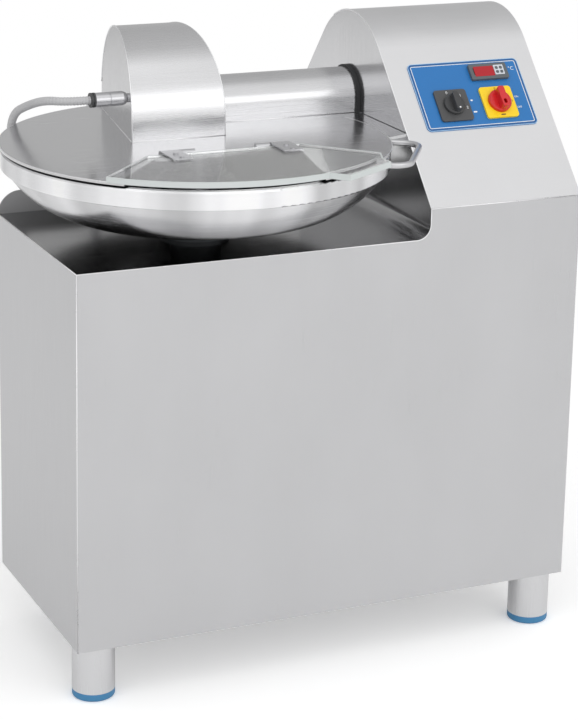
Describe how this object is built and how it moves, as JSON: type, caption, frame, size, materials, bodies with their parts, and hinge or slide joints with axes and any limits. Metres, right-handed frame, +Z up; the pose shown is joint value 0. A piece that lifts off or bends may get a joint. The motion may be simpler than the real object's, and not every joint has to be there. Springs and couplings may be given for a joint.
{
  "type": "meat bowl cutter",
  "caption": "Floor-standing bowl cutter: turning bowl, level knife shaft under a hinged lid with hood and clear loading cover, and a console with a slanted switch panel",
  "frame": {"origin": "on the floor, in the middle of the machine's box as seen from above", "axes": "+X to the machine's right, +Y to its back, +Z up; the switches face -Y"},
  "size_m": [1.0086, 0.736, 1.119],
  "materials": {
    "steel_sheet": "brushed",
    "steel_console": "brushed",
    "steel_bowl": "polished",
    "steel_machined": "machined",
    "steel_blade": "ground",
    "grey_paint": "satin",
    "cast_iron": "matte",
    "bronze": "machined",
    "blue_rubber": "matte",
    "black_rubber": "matte",
    "blue_panel": "semi-gloss",
    "black_plastic": "matte",
    "yellow_plastic": "matte",
    "red_plastic": "gloss",
    "red_display": "gloss",
    "clear_sheet": "clear",
    "grey_plastic": "matte"
  },
  "bodies": {
    "cabinet": {"front_panel": "steel_sheet", "left_panel": "steel_sheet", "right_panel": "steel_sheet", "console_wrap": "steel_console", "deck": "steel_sheet", "rear_panel": "steel_sheet", "service_cover": "steel_sheet", "service_screws": "steel_machined", "bottom_plate": "steel_sheet", "legs": "steel_sheet", "feet": "blue_rubber", "inner_frame": "steel_sheet", "bowl_bearing_housing": "steel_machined", "bowl_bushes": "bronze", "bowl_gearbox": "cast_iron", "bowl_motor": "grey_paint", "shaft_tube": "steel_machined", "shaft_bearings": "steel_machined", "flange_studs": "steel_machined", "drive_belt": "black_rubber", "knife_motor": "grey_paint", "motor_cradle": "grey_paint", "lid_pin": "steel_machined", "lid_bracket": "steel_sheet", "hose": "grey_plastic", "hose_gland": "black_plastic", "control_panel": "blue_panel", "speed_plate": "black_plastic", "mains_plate": "yellow_plastic", "switch_blocks": "black_plastic", "thermometer": "black_plastic", "thermometer_window": "red_display"},
    "bowl_rotor": {"bowl": "steel_bowl", "bowl_shaft": "steel_machined", "bowl_cap_nut": "steel_machined"},
    "knife_rotor": {"knife_left": "steel_blade", "knife_middle": "steel_blade", "knife_right": "steel_blade", "knife_shaft": "steel_machined", "knife_spacers": "steel_machined", "knife_nut": "steel_machined", "driven_pulley": "cast_iron"},
    "motor_rotor": {"motor_pulley": "cast_iron", "motor_shaft": "steel_machined"},
    "lid": {"lid_plate": "steel_bowl", "hood": "steel_bowl", "shaft_cover": "steel_bowl", "wall_seal": "black_rubber", "lid_handle": "steel_machined", "lid_lugs": "steel_machined", "cover_posts": "steel_machined", "cover_pins": "steel_machined", "probe": "steel_machined", "probe_collar": "black_plastic"},
    "loading_cover": {"clear_cover": "clear_sheet", "cover_leaves": "steel_machined", "cover_screws": "steel_machined"},
    "speed_switch": {"speed_knob": "black_plastic"},
    "mains_switch": {"mains_handle": "red_plastic"}
  },
  "joints": [
    {"name": "bowl_spin", "type": "hinge", "parent": "cabinet", "child": "bowl_rotor", "pos_m": [-0.16576, -0.004, 0.85], "axis": [0, 0, 1], "continuous": true},
    {"name": "knife_spin", "type": "hinge", "parent": "cabinet", "child": "knife_rotor", "pos_m": [0, 0.163, 0.963], "axis": [1, 0, 0], "continuous": true},
    {"name": "motor_spin", "type": "hinge", "parent": "cabinet", "child": "motor_rotor", "pos_m": [0.25, 0.033, 0.355], "axis": [1, 0, 0], "continuous": true},
    {"name": "lid_hinge", "type": "hinge", "parent": "cabinet", "child": "lid", "pos_m": [-0.16576, 0.35002, 0.931], "axis": [-1, 0, 0], "range_deg": [0, 75], "deforming": ["hose"]},
    {"name": "cover_hinge", "type": "hinge", "parent": "lid", "child": "loading_cover", "pos_m": [-0.16576, -0.116, 0.944], "axis": [-1, 0, 0], "range_deg": [0, 100]},
    {"name": "speed_turn", "type": "hinge", "parent": "cabinet", "child": "speed_switch", "pos_m": [0.31126, -0.04748, 0.97178], "axis": [0, 0.7385, -0.6743], "range_deg": [0, 120]},
    {"name": "mains_turn", "type": "hinge", "parent": "cabinet", "child": "mains_switch", "pos_m": [0.40326, -0.04748, 0.97178], "axis": [0, 0.7385, -0.6743], "range_deg": [0, 90]}
  ],
  "couplings": [
    {"joint": "motor_spin", "follows": "knife_spin", "ratio": 0.73333}
  ]
}
